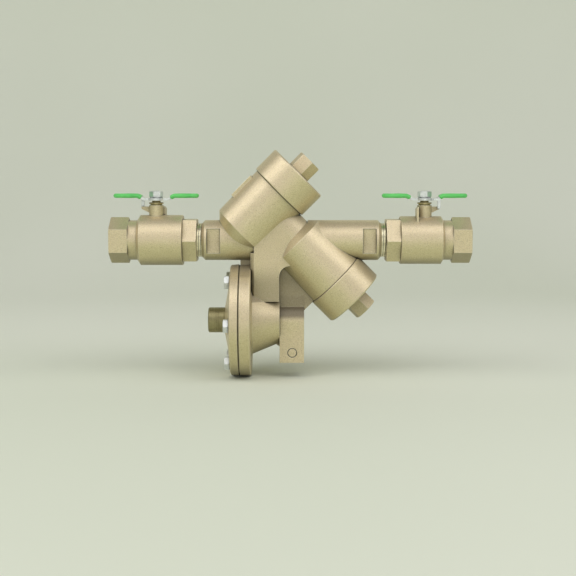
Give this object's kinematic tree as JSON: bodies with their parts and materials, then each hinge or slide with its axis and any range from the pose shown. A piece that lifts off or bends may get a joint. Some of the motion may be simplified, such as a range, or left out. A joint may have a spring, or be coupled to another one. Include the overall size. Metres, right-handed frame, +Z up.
{
  "type": "backflow preventer",
  "caption": "Bronze reduced-pressure backflow preventer: two angled spring checks in a Y-shaped body, a diaphragm relief valve with a spout below, and a ball valve at each end.",
  "frame": {"origin": "centre of the inlet port's outer face", "axes": "+X along the pipe with the flow, +Z up towards the handles, -Y towards the front, the side without test cocks"},
  "size_m": [0.3707, 0.1158, 0.2335],
  "materials": {
    "cast_bronze": "fine sand-cast grain, satin",
    "machined_brass": "turned, slightly dull",
    "zinc_steel": "bright zinc plated",
    "stainless": "machined, plain",
    "chromed_brass": "polished, chrome plated",
    "ptfe": "white, waxy",
    "acetal": "moulded, matt",
    "nitrile": "moulded, matt",
    "vinyl": "dip moulded, semi-gloss green"
  },
  "bodies": {
    "housing": {"main_body": "cast_bronze", "check1_cap": "cast_bronze", "check1_cap_oring": "nitrile", "check1_seat": "machined_brass", "check1_seat_oring": "nitrile", "check1_spring": "stainless", "check2_cap": "cast_bronze", "check2_cap_oring": "nitrile", "check2_seat": "machined_brass", "check2_seat_oring": "nitrile", "check2_spring": "stainless", "relief_cover": "cast_bronze", "relief_diaphragm": "nitrile", "relief_bolts": "zinc_steel", "relief_port_fitting": "machined_brass", "relief_guide_bush": "ptfe", "relief_spring": "stainless", "relief_seat": "machined_brass", "relief_seat_oring": "nitrile", "inlet_valve_body": "cast_bronze", "inlet_retainer": "cast_bronze", "inlet_ball_seats": "ptfe", "inlet_thrust_washer": "ptfe", "inlet_packing": "ptfe", "inlet_gland": "machined_brass", "outlet_valve_body": "cast_bronze", "outlet_retainer": "cast_bronze", "outlet_ball_seats": "ptfe", "outlet_thrust_washer": "ptfe", "outlet_packing": "ptfe", "outlet_gland": "machined_brass", "test_cock_bodies": "machined_brass"},
    "inlet_turn": {"inlet_ball": "chromed_brass", "inlet_stem": "machined_brass", "inlet_handle": "zinc_steel", "inlet_grips": "vinyl", "inlet_handle_nut": "zinc_steel"},
    "outlet_turn": {"outlet_ball": "chromed_brass", "outlet_stem": "machined_brass", "outlet_handle": "zinc_steel", "outlet_grips": "vinyl", "outlet_handle_nut": "zinc_steel"},
    "check1_plug": {"check1_poppet": "acetal", "check1_disc": "nitrile", "check1_disc_retainer": "stainless", "check1_retainer_screw": "stainless"},
    "check2_plug": {"check2_poppet": "acetal", "check2_disc": "nitrile", "check2_disc_retainer": "stainless", "check2_retainer_screw": "stainless"},
    "relief_plug": {"relief_stem": "stainless", "relief_inlet_plate": "stainless", "relief_zone_plate": "stainless", "relief_stem_nut": "stainless", "relief_disc": "nitrile", "relief_disc_retainer": "stainless"},
    "cock1_plug": {"test_cock_1_stem": "chromed_brass"},
    "cock2_plug": {"test_cock_2_stem": "chromed_brass"},
    "cock3_plug": {"test_cock_3_stem": "chromed_brass"},
    "cock4_plug": {"test_cock_4_stem": "chromed_brass"}
  },
  "joints": [
    {"name": "inlet_handle_turn", "type": "hinge", "parent": "housing", "child": "inlet_turn", "pos_m": [0.0472, 0, 0.04], "axis": [0, 0, -1], "range_deg": [0, 90]},
    {"name": "outlet_handle_turn", "type": "hinge", "parent": "housing", "child": "outlet_turn", "pos_m": [0.3235, 0, 0.04], "axis": [0, 0, -1], "range_deg": [0, 90]},
    {"name": "check1_lift", "type": "slide", "parent": "housing", "child": "check1_plug", "axis": [0.7071, 0, 0.7071], "range_m": [0, 0.0085], "stiffness_N_per_m": 2700, "springref_m": -0.013, "deforming": ["check1_spring"]},
    {"name": "check2_lift", "type": "slide", "parent": "housing", "child": "check2_plug", "axis": [0.7071, 0, -0.7071], "range_m": [0, 0.0085], "stiffness_N_per_m": 880, "springref_m": -0.008, "deforming": ["check2_spring"]},
    {"name": "relief_close", "type": "slide", "parent": "housing", "child": "relief_plug", "axis": [1, 0, 0], "range_m": [0, 0.0065], "stiffness_N_per_m": 1800, "springref_m": -0.03, "deforming": ["relief_spring", "relief_diaphragm"]},
    {"name": "test_cock_1_turn", "type": "hinge", "parent": "housing", "child": "cock1_plug", "pos_m": [0.02467, 0.03905, 0.01], "axis": [0, 0, 1], "range_deg": [0, 90]},
    {"name": "test_cock_2_turn", "type": "hinge", "parent": "housing", "child": "cock2_plug", "pos_m": [0.1097, 0.034, 0.01], "axis": [0, 0, 1], "range_deg": [0, 90]},
    {"name": "test_cock_3_turn", "type": "hinge", "parent": "housing", "child": "cock3_plug", "pos_m": [0.1627, 0.034, -0.015], "axis": [0, 0, 1], "range_deg": [0, 90]},
    {"name": "test_cock_4_turn", "type": "hinge", "parent": "housing", "child": "cock4_plug", "pos_m": [0.2633, 0.034, 0.01], "axis": [0, 0, 1], "range_deg": [0, 90]}
  ]
}
